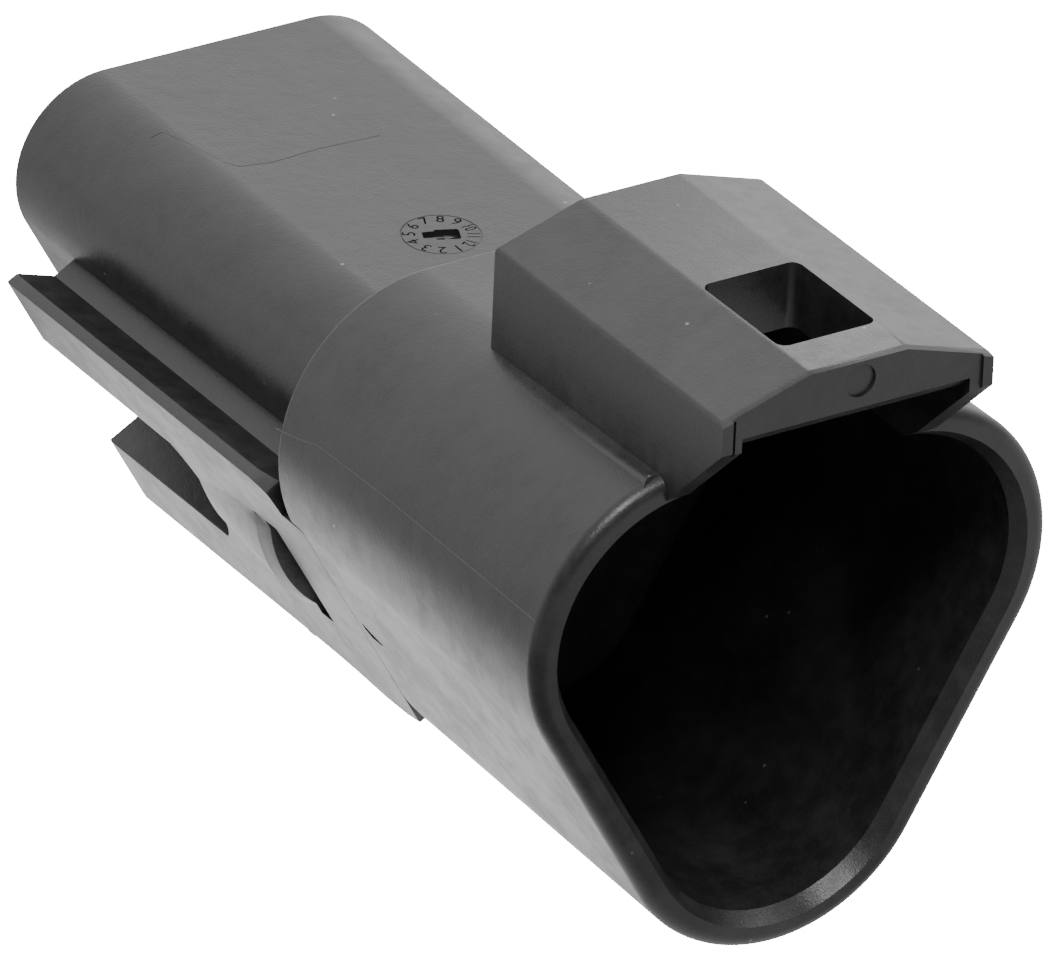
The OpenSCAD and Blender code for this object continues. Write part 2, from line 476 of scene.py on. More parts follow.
class Nodes:
    """Short ways to add and link shader nodes."""

    def __init__(self, tree: bpy.types.NodeTree) -> None:
        """Keeps the node tree that is being built."""
        self.tree = tree

    def add(self, kind: str, **inputs: float | tuple[float, ...]) -> bpy.types.Node:
        """Adds a node and sets its inputs by name.

        Args:
            kind: The node's type.
            inputs: Input names, with "_" for a space, and their values.

        Returns:
            The node.
        """
        node = self.tree.nodes.new(kind)
        for name, value in inputs.items():
            node.inputs[name.replace("_", " ")].default_value = value
        return node

    def link(self, source: Socket, target: Socket) -> None:
        """Links two sockets."""
        self.tree.links.new(source, target)

    def noise(self, place: Socket, scale: float, detail: float, rough: float) -> Socket:
        """Adds a noise pattern.

        Args:
            place: The coordinates that it reads.
            scale: Its scale.
            detail: Its number of octaves.
            rough: Its roughness.

        Returns:
            The pattern's value.
        """
        node = self.add("ShaderNodeTexNoise", Scale=scale, Detail=detail, Roughness=rough)
        self.link(place, node.inputs["Vector"])
        return node.outputs["Fac"]

    def spread(self, value: Socket, low: float, high: float, to_low: float, to_high: float) -> Socket:
        """Maps one range of values smoothly to another.

        Args:
            value: The value to map.
            low: The lower end of its range.
            high: The upper end of its range.
            to_low: What the lower end becomes.
            to_high: What the upper end becomes.

        Returns:
            The mapped value.
        """
        node = self.tree.nodes.new("ShaderNodeMapRange")
        node.interpolation_type = "SMOOTHSTEP"
        for socket, number in zip(node.inputs[1:5], (low, high, to_low, to_high)):
            socket.default_value = number
        self.link(value, node.inputs[0])
        return node.outputs[0]

    def tally(self, operation: str, *values: Socket) -> Socket:
        """Combines values by repeated use of one operation.

        Args:
            operation: The operation's name.
            values: The values.

        Returns:
            The result.
        """
        total = values[0]
        for value in values[1:]:
            node = self.tree.nodes.new("ShaderNodeMath")
            node.operation = operation
            self.link(total, node.inputs[0])
            self.link(value, node.inputs[1])
            total = node.outputs[0]
        return total

    def measure(self, operation: str, value: Socket, fixed: Point3) -> Socket:
        """Measures a vector against a fixed one.

        Args:
            operation: The vector operation's name.
            value: The vector to measure.
            fixed: The fixed vector.

        Returns:
            The measure.
        """
        node = self.tree.nodes.new("ShaderNodeVectorMath")
        node.operation = operation
        self.link(value, node.inputs[0])
        node.inputs[1].default_value = fixed
        return node.outputs["Value"]

    def shown(self, glow: Socket, backdrop: float) -> Socket:
        """Gives a glow to what it lights and a plain bright backdrop to the view."""
        seen = self.add("ShaderNodeLightPath").outputs["Is Camera Ray"]
        return self.tally("MAXIMUM", glow, self.spread(seen, 0.0, 1.0, 0.0, backdrop))

    def tint(self, value: Socket, dark: tuple[float, ...], light: tuple[float, ...]) -> Socket:
        """Turns a value from 0 to 1 into a colour between two others.

        Args:
            value: The value.
            dark: The colour at 0.
            light: The colour at 1.

        Returns:
            The colour.
        """
        node = self.tree.nodes.new("ShaderNodeValToRGB")
        node.color_ramp.elements[0].color = (*dark, 1.0)
        node.color_ramp.elements[1].color = (*light, 1.0)
        self.link(value, node.inputs["Fac"])
        return node.outputs["Color"]

    def bump(self, height: Socket, strength: float, distance: float) -> Socket:
        """Adds a bump.

        Args:
            height: The pattern's height.
            strength: The bump's strength.
            distance: The bump's depth in metres.

        Returns:
            The changed normal.
        """
        node = self.add("ShaderNodeBump", Strength=strength, Distance=distance)
        self.link(height, node.inputs["Height"])
        return node.outputs["Normal"]


def blank_material(name: str) -> tuple[bpy.types.Material, Nodes, bpy.types.Node]:
    """Makes a material and gives it with its nodes and its shader.

    Args:
        name: The material's name.

    Returns:
        The material, its nodes and its shader.
    """
    material = bpy.data.materials.new(name)
    material.use_nodes = True
    return material, Nodes(material.node_tree), material.node_tree.nodes["Principled BSDF"]


@dataclass(frozen=True)
class MouldedPlastic:
    """Black glass-filled plastic with the cloudy, finely grained skin of a moulding."""

    name: str = "moulded_plastic"
    dark: tuple[float, float, float] = (0.0105, 0.0098, 0.0098)
    light: tuple[float, float, float] = (0.030, 0.0280, 0.0275)
    speck: tuple[float, float, float] = (0.22, 0.21, 0.20)
    smooth: float = 0.33
    rough: float = 0.44
    refraction: float = 1.5
    waves: tuple[Point3, ...] = ((260.0, 5.0, 0.62), (1100.0, 4.0, 0.6), (9000.0, 2.0, 0.6))
    shares: tuple[Point3, ...] = ((0.36, 0.68, 0.45), (0.34, 0.70, 0.35), (0.30, 0.72, 0.20))
    speck_scale: float = 900.0
    speck_size: Point2 = (0.03, 0.10)
    rare_wave: Point3 = (700.0, 1.0, 0.5)
    rare_range: Point2 = (0.60, 0.68)
    mottle_range: Point2 = (0.1, 0.9)
    relief_range: Point2 = (0.2, 0.8)
    relief_shares: Point2 = (0.8, 0.5)
    bump_strength: float = 0.30
    bump_depth: float = 0.00003

    def build(self) -> bpy.types.Material:
        """Makes the material, with its patterns in the object's own coordinates.

        Returns:
            The material.
        """
        material, nodes, shader = blank_material(self.name)
        shader.inputs["IOR"].default_value = self.refraction
        place = nodes.add("ShaderNodeTexCoord").outputs["Object"]
        patterns = [nodes.noise(place, *wave) for wave in self.waves]
        parts = [
            nodes.spread(pattern, low, high, 0.0, share)
            for pattern, (low, high, share) in zip(patterns, self.shares)
        ]
        mottle = nodes.tally("ADD", *parts)
        skin = nodes.tint(mottle, self.dark, self.light)
        dots = nodes.add("ShaderNodeTexVoronoi", Scale=self.speck_scale)
        nodes.link(place, dots.inputs["Vector"])
        rare = nodes.noise(place, *self.rare_wave)
        speck = nodes.tally(
            "MULTIPLY",
            nodes.spread(dots.outputs["Distance"], *self.speck_size, 1.0, 0.0),
            nodes.spread(rare, *self.rare_range, 0.0, 1.0),
        )
        mix = nodes.tree.nodes.new("ShaderNodeMix")
        mix.data_type = "RGBA"
        nodes.link(speck, mix.inputs["Factor"])
        nodes.link(skin, mix.inputs["A"])
        mix.inputs["B"].default_value = (*self.speck, 1.0)
        nodes.link(mix.outputs["Result"], shader.inputs["Base Color"])
        nodes.link(nodes.spread(mottle, *self.mottle_range, self.smooth, self.rough), shader.inputs["Roughness"])
        bumps = [
            nodes.spread(pattern, *self.relief_range, 0.0, share)
            for pattern, share in zip(patterns[1:], self.relief_shares)
        ]
        relief = nodes.tally("ADD", *bumps)
        nodes.link(nodes.bump(relief, self.bump_strength, self.bump_depth), shader.inputs["Normal"])
        return material


@dataclass(frozen=True)
class Silicone:
    """Brick-orange moulded silicone with a dull skin."""

    name: str = "seal_silicone"
    colour: tuple[float, float, float, float] = (0.50, 0.12, 0.045, 1.0)
    rough: float = 0.62
    depth_share: float = 0.08
    grain: Point3 = (1800.0, 2.0, 0.5)
    bump_strength: float = 0.15
    bump_depth: float = 0.0001

    def build(self) -> bpy.types.Material:
        """Makes the material, with its patterns in the object's own coordinates.

        Returns:
            The material.
        """
        material, nodes, shader = blank_material(self.name)
        shader.inputs["Base Color"].default_value = self.colour
        shader.inputs["Roughness"].default_value = self.rough
        shader.inputs["Subsurface Weight"].default_value = self.depth_share
        grain = nodes.noise(nodes.add("ShaderNodeTexCoord").outputs["Object"], *self.grain)
        nodes.link(nodes.bump(grain, self.bump_strength, self.bump_depth), shader.inputs["Normal"])
        return material


@dataclass
class Shroud:
    """The rounded-triangle shroud round the mouth."""

    reach: float = 6.06
    radius: float = 7.95
    draft: float = 0.40
    front: float = -0.30
    length: float = 21.5
    rim_round: float = 0.68
    shoulder_round: float = 0.28
    lead_radius: float = 6.84
    mouth_radius: float = 6.37
    lead_depth: float = 0.76
    floor_radius: float = 6.22
    groove: float = 20.0
    island_face: float = 18.0
    island_radius: float = 4.37
    island_edge: float = 0.15
    parting_radius: float = 0.03
    parting_sink: float = 0.012
    parting_path: tuple[Point2, ...] = (
        (0.3, 5.19), (0.6, 5.2), (6.5, 5.2), (13.0, 5.15), (17.2, 5.02), (18.5, 4.96), (19.9, 4.6),
        (21.8, 4.25),
    )

    def outside(self) -> Obj:
        """Makes the drafted outside with its rounded rim and shoulder.

        Returns:
            The solid.
        """
        rings = [(self.front + back, self.radius - side) for back, side in quarter_round(self.rim_round, ROUND_STEPS)]
        end = self.radius - self.draft
        rings += [(self.length - back, end - side) for side, back in quarter_round(self.shoulder_round, ROUND_STEPS)]
        return Bench.rounded_triangle("shroud", rings, self.reach)

    def mouth(self) -> Obj:
        """Makes the tool that hollows the mouth, with its lead-in.

        Returns:
            The tool.
        """
        flare = (self.lead_radius - self.mouth_radius) / self.lead_depth
        rings = [
            (self.front - 0.5, self.lead_radius + 0.5 * flare),
            (self.front + self.lead_depth, self.mouth_radius),
            (self.groove, self.floor_radius),
        ]
        return Bench.rounded_triangle("mouth", rings, self.reach)

    def side_x(self, along: float, height: float) -> float:
        """Gives how far a corner's rounding reaches sideways.

        Args:
            along: Distance behind the mouth.
            height: Height above the axis, near a top corner's centre.

        Returns:
            The distance from the axis.
        """
        radius = self.radius - self.draft * along / self.length
        rise = height - self.reach / 2
        return corner_place(self.reach, CORNER_ANGLES[0])[0] + math.sqrt(radius**2 - rise**2)

    def parting_lines(self) -> list[Obj]:
        """Makes the fine raised line that the mould's halves leave on both sides.

        Returns:
            The line of each side.
        """
        made = []
        for way in (-1.0, 1.0):
            points = [(way * (self.side_x(y, z) - self.parting_sink), y, z) for y, z in self.parting_path]
            made.append(Bench.wire("parting", points, self.parting_radius))
        return made

    def island(self) -> Obj:
        """Makes the low contact island on the mouth's floor.

        Returns:
            The solid.
        """
        rings = [
            (self.island_face, self.island_radius - self.island_edge),
            (self.island_face + self.island_edge, self.island_radius),
            (self.groove + 1.0, self.island_radius),
        ]
        return Bench.rounded_triangle("island", rings, self.reach)


@dataclass
class RearShell:
    """The narrower shell that holds the cavities and the wire seal."""

    reach: float = 6.25
    lift: float = 0.29
    radius: float = 4.54
    draft: float = 0.30
    start: float = 20.5
    end: float = 48.6
    end_round: float = 0.22
    end_steps: int = 4
    pocket: float = 37.0
    wall: float = 1.2
    knit_radius: float = 0.022
    knit_path: tuple[Point3, ...] = (
        (-6.95, 42.2, -0.30), (-6.6, 42.2, -0.16), (-6.2, 42.2, -0.065), (-5.75, 40.6, -0.004),
        (-5.3, 38.4, 0.006), (-4.9, 37.75, 0.006), (-3.4, 37.4, 0.006), (-0.9, 37.55, 0.006),
        (2.2, 37.35, 0.006),
    )

    def outside(self) -> Obj:
        """Makes the shell's outside.

        Returns:
            The solid.
        """
        rings = [(self.start, self.radius - self.draft)]
        falls = quarter_round(self.end_round, self.end_steps)
        rings += [(self.end - back, self.radius - side) for side, back in falls]
        return Bench.rounded_triangle("rear_shell", rings, self.reach, self.lift)

    def seal_pocket(self) -> Obj:
        """Makes the tool that hollows the seal pocket.

        Returns:
            The tool.
        """
        inner = self.radius - self.wall
        rings = [(self.pocket, inner), (self.end - 0.5, inner), (self.end + 0.5, inner + 0.5)]
        return Bench.rounded_triangle("seal_pocket", rings, self.reach, self.lift)

    def knit_line(self) -> Obj:
        """Makes the tool for the fine flow line across the top."""
        points = [(x, y, self.top_height(y) + rise) for x, y, rise in self.knit_path]
        return Bench.wire("knit", points, self.knit_radius, across=True)

    def top_height(self, along: float) -> float:
        """Gives the height of the shell's flat top, so far behind the mouth."""
        share = (along - self.start) / (self.end - self.start)
        return self.lift + self.reach / 2 + self.radius - self.draft * (1 - share)


@dataclass
class MonthDial:
    """The moulder's month dial on the shell's top, with plain numbers."""

    centre: Point2 = (-0.3, 28.2)
    rim: float = 1.8
    line: float = 0.035
    number_middle: float = 1.41
    number_height: float = 0.61
    number_depth: float = 0.20
    number_size: float = 1.42
    number_merge: float = 0.002
    number_reach: float = 0.3
    number_gap: float = 0.9
    number_slim: float = 0.72
    months: int = 12
    first_angle: float = -90.0
    ring_sides: tuple[int, int] = (72, 6)
    recess_turn: float = -23.0
    recess_depth: float = 0.3
    arrow_depth: float = 0.16
    recess_outline: tuple[Point2, ...] = (
        (-0.84, -0.26), (-0.28, -0.34), (-0.24, -0.46), (0.76, -0.46), (0.84, -0.36), (0.84, 0.36),
        (0.76, 0.46), (-0.24, 0.46), (-0.28, 0.34), (-0.84, 0.26),
    )
    arrow_outline: tuple[Point2, ...] = (
        (-0.62, -0.06), (0.16, -0.06), (0.16, -0.22), (0.62, 0.0), (0.16, 0.22), (0.16, 0.06), (-0.62, 0.06),
    )

    def _number(self, month: int, height: float) -> Obj:
        """Makes the tool for one sunk number, its top outwards.

        Args:
            month: The number.
            height: The height of the surface that it is sunk into.

        Returns:
            The tool.
        """
        angle = math.radians(self.first_angle - 360.0 / self.months * (month - 1))
        Bench.deselect()
        bpy.ops.object.text_add()
        text = bpy.context.object
        text.data.body = str(month)
        text.data.align_x = "CENTER"
        text.data.align_y = "CENTER"
        text.data.size = self.number_height * self.number_size
        text.data.resolution_u = 2
        text.data.extrude = self.number_reach
        text.data.space_character = self.number_gap
        bpy.ops.object.convert(target="MESH")
        text = bpy.context.object
        text.name = f"number_{month}"
        text.scale = (self.number_slim if len(str(month)) > 1 else 1.0, 1.0, 1.0)
        text.rotation_euler = (0.0, 0.0, angle - math.pi / 2)
        x = self.centre[0] + self.number_middle * math.cos(angle)
        y = self.centre[1] + self.number_middle * math.sin(angle)
        text.location = (x, y, height + self.number_reach - self.number_depth)
        Bench.apply_place(text)
        Bench.start_edit(text)
        bpy.ops.mesh.remove_doubles(threshold=self.number_merge)
        Bench.end_edit()
        return text

    def _ring(self, height: float) -> Obj:
        """Makes the tool for the dial's thin round outline.

        Args:
            height: The height of the surface that it is cut into.

        Returns:
            The tool.
        """
        Bench.deselect()
        bpy.ops.mesh.primitive_torus_add(
            location=(self.centre[0], self.centre[1], height),
            major_radius=self.rim,
            minor_radius=self.line,
            major_segments=self.ring_sides[0],
            minor_segments=self.ring_sides[1],
        )
        return Bench.taken("ring")

    def _recess(self, height: float) -> Obj:
        """Makes the tool for the insert's recess, with an arrow left standing in it.

        Args:
            height: The height of the surface that it is sunk into.

        Returns:
            The tool.
        """
        turn = math.radians(self.recess_turn)

        def placed(points: Sequence[Point2]) -> list[Point2]:
            """Turns and moves points to the dial's place.

            Args:
                points: The points.

            Returns:
                The moved points.
            """
            return [
                (
                    self.centre[0] + a * math.cos(turn) - b * math.sin(turn),
                    self.centre[1] + a * math.sin(turn) + b * math.cos(turn),
                )
                for a, b in points
            ]

        floor = height - self.recess_depth
        tool = Bench.drawn("recess", placed(self.recess_outline), floor, height + CLEAR, Plane.TOP)
        keep = Bench.drawn("arrow", placed(self.arrow_outline), floor - 0.1, height - self.arrow_depth, Plane.TOP)
        Bench.combine(tool, keep, Cut.REMOVE)
        return tool

    def tools(self, height: float) -> list[Obj]:
        """Makes the tools for the whole dial, in a surface of that height."""
        made = [self._number(month, height) for month in range(1, self.months + 1)]
        return [*made, self._ring(height), self._recess(height)]


@dataclass
class LatchBridge:
    """The fixed bridge over the mating latch, with its window."""

    half: float = 6.9
    side_z: float = 15.41
    flat_half: float = 2.53
    top_z: float = 16.77
    front: float = -4.39
    back: float = 13.94
    tunnel_half: float = 5.8
    tunnel_z: float = 13.6
    back_wall: float = 1.1
    window_low: Point2 = (-2.35, -1.73)
    window_size: Point2 = (4.95, 6.35)
    window_round: float = 0.5
    window_steps: int = 6
    mark: Point2 = (0.12, 15.73)
    mark_radius: float = 0.78
    mark_lead: float = 0.86
    slope_back: float = 0.41
    slope_down: float = 0.17
    strip: float = 0.53
    set_back: float = 0.14
    foot_z: float = 4.0
    gusset_point: Point3 = (0.0, 0.1, 9.4)
    gusset_out: Point3 = (0.0, -1.0, -1.0)
    edge_round: float = 0.20
    line_width: float = 0.22
    line_depth: float = 0.3
    tunnel_lip: tuple[Point2, ...] = ((-1.0, 15.6), (0.0, 14.55), (0.7, 13.9), (1.1, 13.6))
    ledge: float = 0.85
    ledge_front: float = 0.02
    ledge_sink: float = 0.22
    ledge_cut: float = 0.42
    ledge_lean: float = 0.7
    ledge_short: float = 0.03
    ledge_root: float = 0.4
    ledge_drop: float = 0.8
    ledge_rise: float = 0.275
    ledge_round: tuple[Point2, ...] = (
        (0.06, -0.12), (0.0, 0.0), (-0.04, 0.07), (-0.10, 0.135), (-0.18, 0.185), (-0.28, 0.215),
        (-0.42, 0.235),
    )

    def outside(self) -> Obj:
        """Makes the roof and walls with the gussets ahead of the rim.

        Returns:
            The solid.
        """
        section = [
            (-self.half, self.foot_z),
            (self.half, self.foot_z),
            (self.half, self.side_z),
            (self.flat_half, self.top_z),
            (-self.flat_half, self.top_z),
            (-self.half, self.side_z),
        ]
        solid = Bench.drawn("bridge", section, self.front, self.back, Plane.FRONT)
        Bench.cut_flat(solid, Vector(self.gusset_point), Vector(self.gusset_out).normalized())

        def rounded(a: Vector, b: Vector) -> bool:
            """Tells an upright edge at the back, an edge of the roof's back or one along the roof.

            Args:
                a: The edge's one end.
                b: Its other end.

            Returns:
                Whether the edge is rounded.
            """
            at_back = max(abs(a.y - self.back), abs(b.y - self.back)) < NEAR
            at_roof = min(a.z, b.z) > self.side_z - SLACK
            upright = abs(a.x - b.x) < NEAR and abs(abs(a.x) - self.half) < NEAR
            return (upright and at_back) or (at_roof and (at_back or abs(a.y - b.y) > 5.0))

        Bench.bevel_edges(solid, self.edge_round, rounded, 3)
        rise = Vector((self.half - self.flat_half, 0.0, self.top_z - self.side_z))
        side = Vector((-rise.z, 0.0, rise.x)).normalized()
        for up in (Vector((0.0, 0.0, 1.0)), side, Vector((-side.x, 0.0, side.z))):
            ridge_x = 0.0 if abs(up.x) < 1e-6 else math.copysign(self.flat_half, up.x)
            edge = Vector((ridge_x, self.front + self.slope_back, self.top_z))
            Bench.cut_flat(solid, edge, up * self.slope_back - Vector((0.0, self.slope_down, 0.0)))
        inner = self.half - self.strip
        face = self.front + self.set_back
        for right, low, high, depth in (
            (inner, self.tunnel_z - 1.0, self.top_z + 1.0, 0.0),
            (self.line_width - inner, self.tunnel_z, self.side_z - 0.05, self.line_depth),
        ):
            outline = [(-inner, low), (right, low), (right, high), (-inner, high)]
            tool = Bench.drawn("front_cut", outline, self.front - 1.0, face + depth, Plane.FRONT)
            Bench.combine(solid, tool, Cut.REMOVE)
        return solid

    def tunnel(self) -> Obj:
        """Makes the tool for the tunnel under the roof.

        Returns:
            The tool.
        """
        end = self.back - self.back_wall
        side = [(self.front - 1.0, self.foot_z)]
        side += [(self.front + along, height) for along, height in self.tunnel_lip]
        side += [(end, self.tunnel_z), (end, self.foot_z)]
        return Bench.drawn("tunnel", side, -self.tunnel_half, self.tunnel_half, Plane.SIDE)

    def window(self) -> Obj:
        """Makes the tool for the window, with rounded corners.

        Returns:
            The tool.
        """
        low_x, low_y = self.window_low
        wide, long = self.window_size
        right, rear = low_x + wide, low_y + long
        outline = [(low_x, low_y), (right, low_y), (right, rear), (low_x, rear)]
        tool = Bench.drawn("window", outline, self.tunnel_z - 1.0, self.top_z + 1.0, Plane.TOP)
        Bench.bevel_edges(tool, self.window_round, lambda a, b: abs(a.z - b.z) > 1.0, self.window_steps)
        return tool

    def foot_ledges(self, corner: Point2, radius: float, fall: float) -> list[Obj]:
        """Makes the low round-edged ledges where the walls stand on the shroud.

        Args:
            corner: The shroud's right corner centre, across and up.
            radius: The corner's radius at the rim.
            fall: How far the shroud's top falls over the bridge's length.

        Returns:
            The left and the right ledge.
        """
        edge = self.half + self.ledge
        base = corner[1] + math.sqrt(radius**2 - (edge - corner[0]) ** 2)
        root, low = self.half - self.ledge_root, base - self.ledge_drop
        section = [(root, low), (edge + self.ledge_round[0][0], low)]
        section += [(edge + out, base + up) for out, up in self.ledge_round]
        section += [(root, base + self.ledge_rise)]
        carry = Vector((0.0, self.back - self.ledge_front - self.ledge_short, -fall - self.ledge_sink))
        front = Vector((0.0, self.ledge_cut, corner[1] + radius))
        made = []
        for way in (-1.0, 1.0):
            solid = Bench.prism("ledge", [Vector((way * x, self.ledge_front, z)) for x, z in section], carry)
            Bench.cut_flat(solid, front, Vector((0.0, -1.0, self.ledge_lean)).normalized())
            made.append(solid)
        return made

    def ejector_mark(self) -> Obj:
        """Makes the tool for the round ejector mark on the front face."""
        centre = (self.mark[0], self.front + self.set_back - self.mark_lead, self.mark[1])
        return Bench.rod("mark", centre, self.mark_radius, 2.0)


@dataclass
class ClipRails:
    """The two lipped rails on the left flank, their web and the clip ramp."""

    slot_half: float = 3.2
    foot_half: float = 5.65
    lip_half: float = 7.2
    foot: float = 6.6
    lip_low: float = 8.6
    top: float = 10.6
    lip_thick: float = 0.56
    front: float = 20.4
    slot_y: float = 33.4
    slot_arch: float = 1.4
    upper_rear: float = 44.37
    lower_rear: float = 43.6
    catch_y: float = 24.4
    lock_y: float = 25.4
    crest_y: float = 26.15
    ramp_start: float = 33.8
    ramp_radius: float = 7.1
    ramp_rise: float = 5.7
    nose_fall: float = 18.8
    pocket_low: float = 7.8
    edge: float = 0.07
    clear: float = 13.0
    past_end: float = 60.0
    bar_sides: int = 256
    ramp_gap: float = 0.08
    lip_spread: float = 0.6
    slot_steps: int = 32
    nub_out: float = 0.28
    nub_in: float = 0.3
    nub_along: Point2 = (29.3, 29.85)
    nub_down: Point2 = (0.4, 0.05)
    slit_depth: float = 0.30
    slit_line: tuple[Point2, ...] = (
        (-0.10, 19.80), (-0.46, 19.24), (-0.76, 18.42), (-0.92, 18.66), (-0.92, 19.46), (-0.52, 19.82),
    )
    upper_front: float = 22.05
    upper_trim: tuple[Point2, ...] = ((2.0, 23.7), (0.0, 23.7), (-0.15, 22.95), (-0.28, 22.5), (-0.5, 22.32))
    lower_trim: tuple[Point2, ...] = (
        (2.0, 50.0), (0.0, 50.0), (0.0, 29.0), (0.05, 27.0), (0.2, 25.3), (0.5, 23.4), (0.5, 21.6),
    )

    def _place(self, co: Vector) -> Vector:
        """Gives a point's distance up the flank, behind the mouth and from the axis."""
        return Matrix.Rotation(FLANK_TURN, 3, "Y") @ co

    def _bar(self, along: float, height: float, rise: float) -> Obj:
        """Makes a round bar whose top passes one point and slopes from there.

        Args:
            along: The point's distance behind the mouth.
            height: The point's distance from the axis.
            rise: The slope in degrees by which the bar's top rises forwards.

        Returns:
            The bar.
        """
        Bench.deselect()
        bpy.ops.mesh.primitive_cylinder_add(vertices=self.bar_sides, radius=self.ramp_radius, depth=60.0)
        bar = bpy.context.object
        turned = Matrix.Rotation(-FLANK_TURN, 4, "Y")
        placed = Matrix.Translation((0.0, along, height - self.ramp_radius / math.cos(math.radians(rise))))
        sloped = Matrix.Rotation(math.radians(90.0 - rise), 4, "X")
        bar.matrix_world = turned @ placed @ sloped
        Bench.apply_place(bar)
        return bar

    def _box(self, low: Point2, high: Point2, floor: float, roof: float) -> Obj:
        """Makes a box from two corners in the flank's face and two distances from the axis."""
        outline = [low, (high[0], low[1]), high, (low[0], high[1])]
        return Bench.drawn("box", outline, floor, roof, Plane.FLANK)

    def _ramp(self) -> Obj:
        """Makes the round-topped ramp with its nose and upright lock face.

        Returns:
            The ramp.
        """
        half = self.slot_half - self.ramp_gap
        ramp = self._box((-half, self.lock_y), (half, self.slot_y), self.foot + 0.5, self.clear)
        crest = self.top + (self.ramp_start - self.crest_y) * math.tan(math.radians(self.ramp_rise))
        Bench.combine(ramp, self._bar(self.ramp_start, self.top, self.ramp_rise), Cut.KEEP_COMMON)
        Bench.combine(ramp, self._bar(self.crest_y, crest, -self.nose_fall), Cut.KEEP_COMMON)
        Bench.tidy(ramp)
        return ramp

    def _slot(self) -> Obj:
        """Makes the tool for the slot between the rails, with its arched front end.

        Returns:
            The tool.
        """
        radius = (self.slot_half**2 + self.slot_arch**2) / (2.0 * self.slot_arch)
        centre = self.slot_y - self.slot_arch + radius
        half_angle = math.asin(self.slot_half / radius)
        outline: list[Point2] = [(self.slot_half, self.past_end)]
        for step in range(self.slot_steps + 1):
            angle = half_angle * (1.0 - 2.0 * step / self.slot_steps)
            outline.append((radius * math.sin(angle), centre - radius * math.cos(angle)))
        outline.append((-self.slot_half, self.past_end))
        return Bench.drawn("slot", outline, self.foot - 1.0, self.clear, Plane.FLANK)

    def _trims(self) -> list[Obj]:
        """Makes the tools that shape the lips' front ends and shorten the lower rail.

        Returns:
            The tools.
        """
        lip, far = self.lip_half, self.lip_half + 2.0
        foot, start = self.foot_half + 0.03, self.front - 0.1
        upper = [(lip + out, along) for out, along in self.upper_trim]
        upper += [(foot, self.upper_front), (foot, 15.0), (far, 15.0)]
        lower = [(lip + out, along) for out, along in self.lower_trim]
        lower += [(lip + 0.2, start), (far, start)]
        made = []
        for side, plan in ((1.0, upper), (-1.0, lower)):
            outline = [(side * across, along) for across, along in plan]
            made.append(Bench.drawn("trim", outline, self.lip_low - 0.001, self.clear, Plane.FLANK))
        made.append(self._box((-lip - 3.0, self.lower_rear), (0.0, self.past_end), self.foot - 1.0, self.clear))
        return made

    def build(self) -> Obj:
        """Makes both rails, their web and the ramp.

        Returns:
            The solid.
        """
        spread = self.lip_half + self.lip_spread
        under = self.top - self.lip_thick
        section = [
            (-self.foot_half, self.foot),
            (-self.foot_half, self.lip_low),
            (-spread, under),
            (-spread, self.top),
            (self.lip_half, self.top),
            (self.lip_half, under),
            (self.foot_half, self.lip_low),
            (self.foot_half, self.foot),
        ]
        outline = [flank_point(across, self.front, out) for across, out in section]
        block = Bench.prism("rails", outline, Vector((0.0, self.upper_rear - self.front, 0.0)))
        for tool in self._trims():
            Bench.combine(block, tool, Cut.REMOVE)
        Bench.combine(block, self._ramp(), Cut.ADD)
        Bench.combine(block, self._slot(), Cut.REMOVE)

        def rounded(a: Vector, b: Vector) -> bool:
            """Tells a long edge of the face or a lip, or an edge of a rear end.

            Args:
                a: The edge's one end.
                b: Its other end.

            Returns:
                Whether the edge is rounded.
            """
            first, last = self._place(a), self._place(b)
            low, high = min(first.z, last.z), max(first.z, last.z)
            inside = min(abs(first.x), abs(last.x)) <= self.slot_half - SLACK
            if inside or low <= self.lip_low + 0.1 or high >= self.top + SLACK:
                return False
            return abs(first.y - last.y) > 0.5 or min(first.y, last.y) > self.lower_rear - SLACK

        Bench.bevel_edges(block, self.edge, rounded, 2)
        low = (-self.lip_half - self.nub_out, self.nub_along[0])
        high = (-self.lip_half + self.nub_in, self.nub_along[1])
        nub = self._box(low, high, self.top - self.nub_down[0], self.top - self.nub_down[1])
        Bench.combine(block, nub, Cut.ADD)
        return block

    def lock_pocket(self) -> Obj:
        """Makes the tool for the slot across the web ahead of the ramp."""
        low = (-self.slot_half, self.catch_y)
        return self._box(low, (self.slot_half, self.lock_y), self.pocket_low, self.clear)

    def slit(self) -> Obj:
        """Makes the tool for the short curved witness line on the shroud's flank."""
        return Bench.drawn("slit", self.slit_line, self.top - self.slit_depth, self.top + CLEAR, Plane.FLANK)


@dataclass
class Cavities:
    """The three contact cavities and the lock recess between them."""

    reach: float = 5.0
    pin_radius: float = 1.0
    radius: float = 1.8
    step: float = 22.0
    recess_reach: float = 2.2
    recess_radius: float = 0.8
    recess_depth: float = 8.0
    recess_turn: float = 60.0
    recess_steps: int = 10

    def tools(self, face: float, floor: float) -> list[Obj]:
        """Makes the tools for all cavities.

        Args:
            face: The island face's distance behind the mouth.
            floor: The seal pocket floor's distance behind the mouth.

        Returns:
            The tools.
        """
        front, rear = face - 1.0, floor + 1.0
        made = []
        for angle in CORNER_ANGLES:
            x, z = corner_place(self.reach, angle)
            for name, start, end, radius in (
                ("pin_hole", front, self.step + 1.0, self.pin_radius),
                ("cavity", self.step, rear, self.radius),
            ):
                made.append(Bench.rod(name, (x, (start + end) / 2, z), radius, end - start))
        rings = [(front, self.recess_radius), (face + self.recess_depth, self.recess_radius)]
        made.append(
            Bench.rounded_triangle(
                "lock_recess", rings, self.recess_reach, turn=self.recess_turn, per_corner=self.recess_steps
            )
        )
        return made


